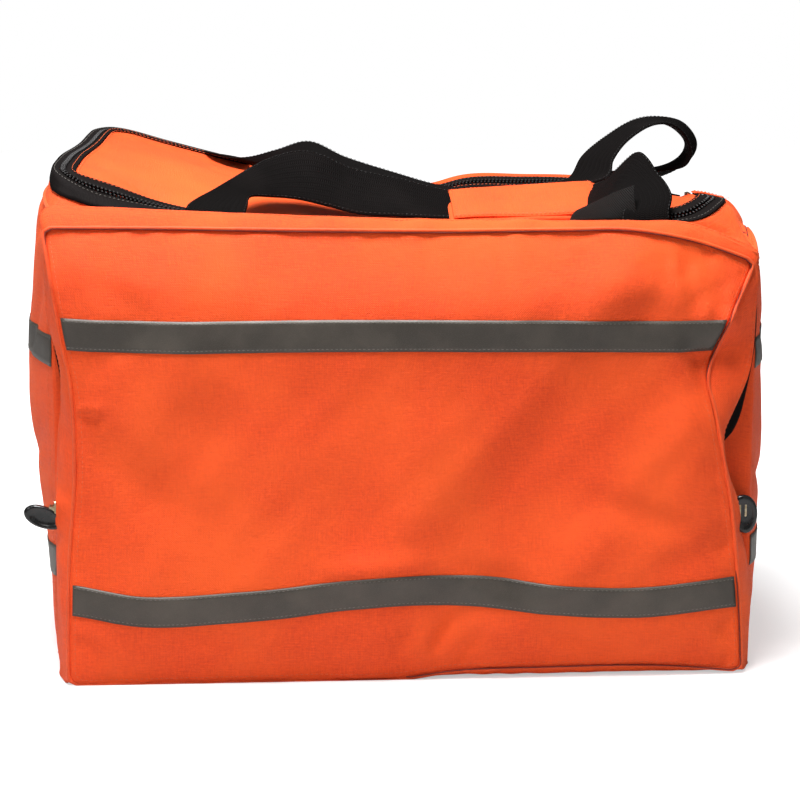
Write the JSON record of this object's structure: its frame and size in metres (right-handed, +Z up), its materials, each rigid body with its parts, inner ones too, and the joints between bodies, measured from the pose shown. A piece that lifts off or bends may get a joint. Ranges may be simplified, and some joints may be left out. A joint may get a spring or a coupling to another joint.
{
  "type": "throw rope bag",
  "caption": "Soft padded carry bag for a life-saving throw line, with a zipped lid, a zipped front pocket, reflective tapes and two webbing handles with a wrap-round grip.",
  "frame": {"origin": "on the floor under the middle of the bag's length; the main front wall is 130 mm in front of it", "axes": "+X to the right seen from the pocket side, -Y towards the pocket side, +Z up"},
  "size_m": [0.6254, 0.3143, 0.4374],
  "materials": {
    "orange_cloth": "matte",
    "black_webbing": "matte",
    "zip_tape": "matte",
    "zip_teeth": "satin",
    "reflective_tape": "satin",
    "slider_metal": "satin",
    "black_moulding": "gloss",
    "hook_strip": "matte",
    "stiffener": "matte",
    "line_rope": "matte"
  },
  "bodies": {
    "bag": {"front_wall": "orange_cloth", "back_wall": "orange_cloth", "left_end_panel": "orange_cloth", "right_end_panel": "orange_cloth", "bottom_panel": "orange_cloth", "top_border": "orange_cloth", "zip_end_patches": "orange_cloth", "base_board": "stiffener", "back_piping": "orange_cloth", "left_tape_upper": "reflective_tape", "left_tape_lower": "reflective_tape", "right_tape_upper": "reflective_tape", "right_tape_lower": "reflective_tape", "back_tape_upper": "reflective_tape", "back_tape_lower": "reflective_tape", "front_tape_lower": "reflective_tape", "body_zip_tape": "zip_tape", "body_zip_teeth": "zip_teeth", "pouch_panel": "orange_cloth", "pouch_piping": "orange_cloth", "pouch_gusset": "orange_cloth", "pocket_body_zip_tape": "zip_tape", "pocket_body_zip_teeth": "zip_teeth", "front_handle_anchors": "black_webbing", "back_handle_anchors": "black_webbing", "throw_line": "line_rope", "line_ties": "black_webbing"},
    "lid": {"lid_panel": "orange_cloth", "lid_zip_tape": "zip_tape", "lid_zip_teeth": "zip_teeth"},
    "pocket_cover": {"pocket_panel": "orange_cloth", "pocket_piping": "orange_cloth", "pocket_gusset": "orange_cloth", "front_tape_upper": "reflective_tape", "cover_zip_tape": "zip_tape", "cover_zip_teeth": "zip_teeth"},
    "front_handle": {"front_handle_strap": "black_webbing", "grip_sleeve": "orange_cloth"},
    "grip_wrap": {"grip_flap": "orange_cloth", "grip_hook_strip": "hook_strip"},
    "back_handle": {"back_handle_strap": "black_webbing"},
    "pocket_slider_left": {"pocket_slider_left": "slider_metal"},
    "pocket_pull_left": {"pocket_pull_tab_left": "slider_metal", "pocket_pull_grip_left": "black_moulding"},
    "pocket_slider_right": {"pocket_slider_right": "slider_metal"},
    "pocket_pull_right": {"pocket_pull_tab_right": "slider_metal", "pocket_pull_grip_right": "black_moulding"},
    "lid_slider": {"lid_slider": "slider_metal"},
    "lid_pull": {"lid_pull_tab": "slider_metal", "lid_pull_grip": "black_moulding"}
  },
  "joints": [
    {"name": "lid_open", "type": "hinge", "parent": "bag", "child": "lid", "pos_m": [0.264, 0.01, 0.366], "axis": [0, 1, 0], "range_deg": [0, 125], "deforming": ["front_handle_strap", "back_handle_strap", "grip_sleeve", "grip_flap", "grip_hook_strip"]},
    {"name": "pocket_open", "type": "hinge", "parent": "bag", "child": "pocket_cover", "pos_m": [0, -0.16, 0.132], "axis": [1, 0, 0], "range_deg": [0, 115]},
    {"name": "front_handle_lift", "type": "hinge", "parent": "bag", "child": "front_handle", "pos_m": [0, -0.125, 0.37], "axis": [1, 0, 0], "range_deg": [0, 150]},
    {"name": "back_handle_lift", "type": "hinge", "parent": "bag", "child": "back_handle", "pos_m": [0, 0.145, 0.37], "axis": [-1, 0, 0], "range_deg": [0, 130]},
    {"name": "grip_unwrap", "type": "hinge", "parent": "front_handle", "child": "grip_wrap", "pos_m": [0.104, 0.00679, 0.38328], "axis": [-1, 0, 0], "range_deg": [0, 120]},
    {"name": "pocket_slide_left", "type": "slide", "parent": "bag", "child": "pocket_slider_left", "axis": [0, 0, 1], "range_m": [0, 0.195]},
    {"name": "pocket_slide_right", "type": "slide", "parent": "bag", "child": "pocket_slider_right", "axis": [0, 0, 1], "range_m": [0, 0.195]},
    {"name": "lid_slide", "type": "slide", "parent": "bag", "child": "lid_slider", "axis": [-1, 0, 0], "range_m": [0, 0.49]},
    {"name": "pocket_pull_turn_left", "type": "hinge", "parent": "pocket_slider_left", "child": "pocket_pull_left", "pos_m": [-0.2837, -0.1375, 0.1405], "axis": [0, 1, 0], "range_deg": [-80, 80]},
    {"name": "pocket_pull_turn_right", "type": "hinge", "parent": "pocket_slider_right", "child": "pocket_pull_right", "pos_m": [0.2837, -0.1375, 0.1405], "axis": [0, -1, 0], "range_deg": [-80, 80]},
    {"name": "lid_pull_turn", "type": "hinge", "parent": "lid_slider", "child": "lid_pull", "pos_m": [0.2725, 0.1287, 0.3702], "axis": [0, -1, 0], "range_deg": [0, 165]}
  ]
}
